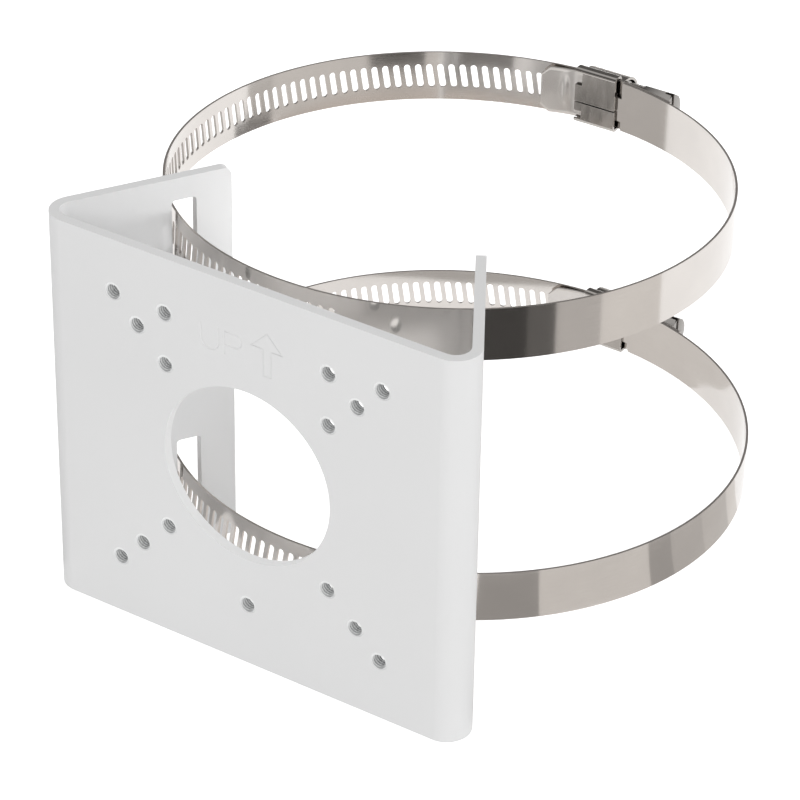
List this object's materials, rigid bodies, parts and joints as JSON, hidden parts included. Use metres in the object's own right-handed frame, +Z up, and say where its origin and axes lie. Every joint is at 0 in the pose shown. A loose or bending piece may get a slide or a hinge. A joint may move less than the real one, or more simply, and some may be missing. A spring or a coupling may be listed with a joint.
{
  "type": "camera pole mount bracket",
  "caption": "Folded sheet-metal adapter plate with a central cable hole and tapped holes, held on a pole by two worm-drive band clamps through slotted side flanges.",
  "frame": {"origin": "centre of the cable hole on the plate's front face", "axes": "+X right seen from the front, +Y from the front face towards the pole, +Z up"},
  "size_m": [0.1621, 0.1919, 0.1153],
  "materials": {
    "powder_coat": "fine matt powder coat",
    "band_steel": "bright rolled",
    "housing_steel": "bright pressed",
    "screw_steel": "zinc plated"
  },
  "bodies": {
    "bracket": {"mounting_bracket": "powder_coat"},
    "upper_clamp": {"upper_band": "band_steel", "upper_housing": "housing_steel", "upper_saddle": "housing_steel"},
    "upper_screw": {"upper_worm_screw": "screw_steel"},
    "lower_clamp": {"lower_band": "band_steel", "lower_housing": "housing_steel", "lower_saddle": "housing_steel"},
    "lower_screw": {"lower_worm_screw": "screw_steel"}
  },
  "joints": [
    {"name": "upper_clamp_slide_round", "type": "hinge", "parent": "bracket", "child": "upper_clamp", "pos_m": [0, 0.09421, 0.03761], "axis": [-0.0227, 0.0506, 0.9985], "range_deg": [-123, 128]},
    {"name": "upper_screw_turn", "type": "hinge", "parent": "upper_clamp", "child": "upper_screw", "pos_m": [0.00042, 0.1752, 0.03352], "axis": [0.9997, -0.0041, 0.0229], "continuous": true},
    {"name": "lower_clamp_slide_round", "type": "hinge", "parent": "bracket", "child": "lower_clamp", "pos_m": [0, 0.10012, -0.0415], "axis": [-0.0035, 0.0401, 0.9992], "range_deg": [-127, 130]},
    {"name": "lower_screw_turn", "type": "hinge", "parent": "lower_clamp", "child": "lower_screw", "pos_m": [0.00045, 0.18595, -0.04494], "axis": [1, -0.0051, 0.0037], "continuous": true}
  ]
}
